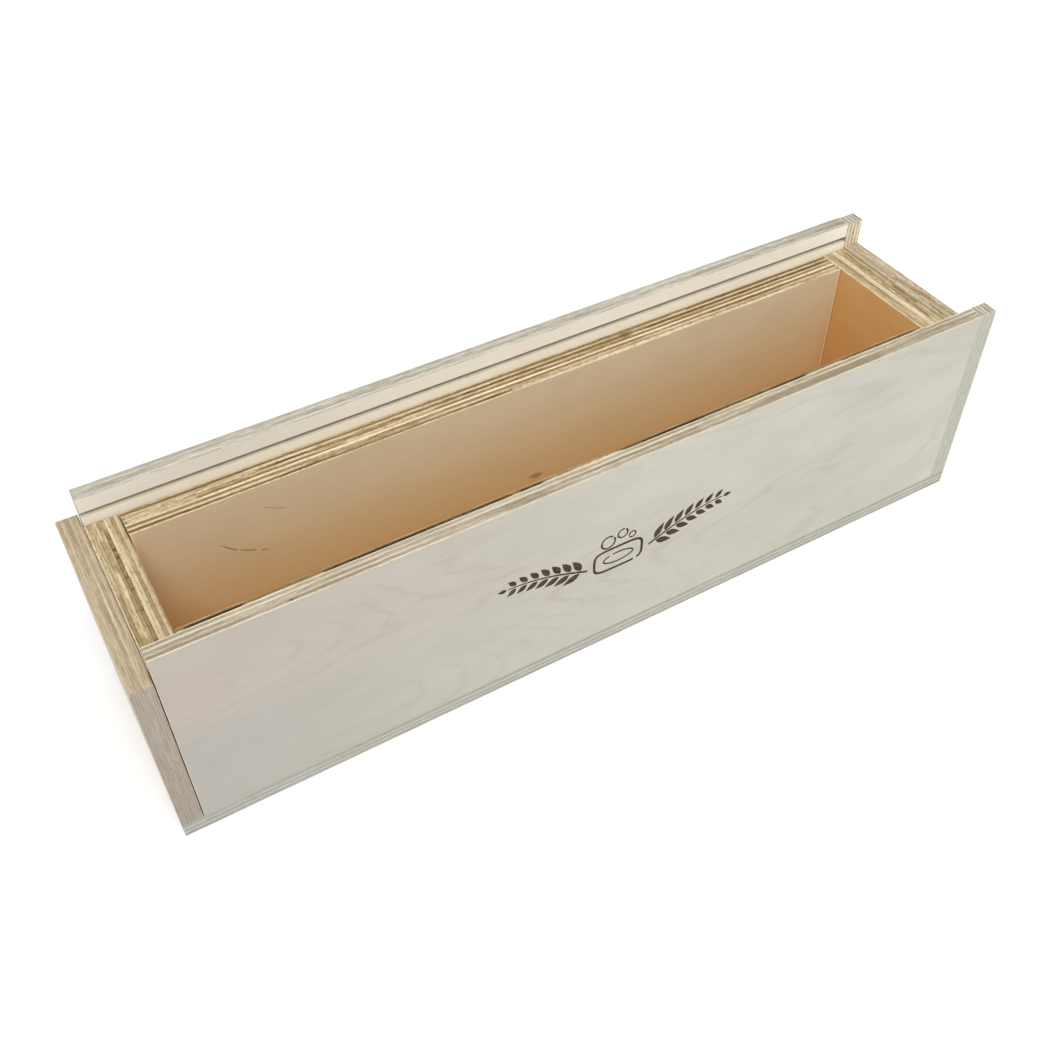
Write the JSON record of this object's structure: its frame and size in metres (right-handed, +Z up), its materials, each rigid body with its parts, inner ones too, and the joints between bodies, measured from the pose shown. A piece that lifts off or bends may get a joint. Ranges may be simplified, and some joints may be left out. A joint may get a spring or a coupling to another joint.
{
  "type": "soap loaf mould",
  "caption": "Long open plywood box for moulding a loaf of soap, with lift-out liner boards round a narrow cavity and grooves for a sliding lid.",
  "frame": {"origin": "middle of the underside of the base board, where the mould stands", "axes": "+Z up, +X along the loaf towards the notched end, -Y towards the front"},
  "size_m": [0.52, 0.1254, 0.137],
  "materials": {
    "birch_ply": "bare birch plywood, sanded faces and sawn edges",
    "liner_ply": "bare thick birch plywood, warmer in tone, rough-sawn edges",
    "brad_steel": "plain bright wire"
  },
  "bodies": {
    "box": {"base_board": "birch_ply", "front_panel": "birch_ply", "back_panel": "birch_ply", "left_end_board": "birch_ply", "right_end_board": "birch_ply", "left_end_brads": "brad_steel", "right_end_brads": "brad_steel", "base_brads": "brad_steel"},
    "front_liner": {"front_liner_board": "liner_ply"},
    "back_liner": {"back_liner_board": "liner_ply"},
    "left_liner": {"left_liner_board": "liner_ply"},
    "right_liner": {"right_liner_board": "liner_ply"}
  },
  "joints": [
    {"name": "front_liner_lift", "type": "slide", "parent": "box", "child": "front_liner", "axis": [0, 0, 1], "range_m": [0, 0.13]},
    {"name": "back_liner_lift", "type": "slide", "parent": "box", "child": "back_liner", "axis": [0, 0, 1], "range_m": [0, 0.13]},
    {"name": "left_liner_lift", "type": "slide", "parent": "box", "child": "left_liner", "axis": [0, 0, 1], "range_m": [0, 0.13]},
    {"name": "right_liner_lift", "type": "slide", "parent": "box", "child": "right_liner", "axis": [0, 0, 1], "range_m": [0, 0.13]}
  ]
}
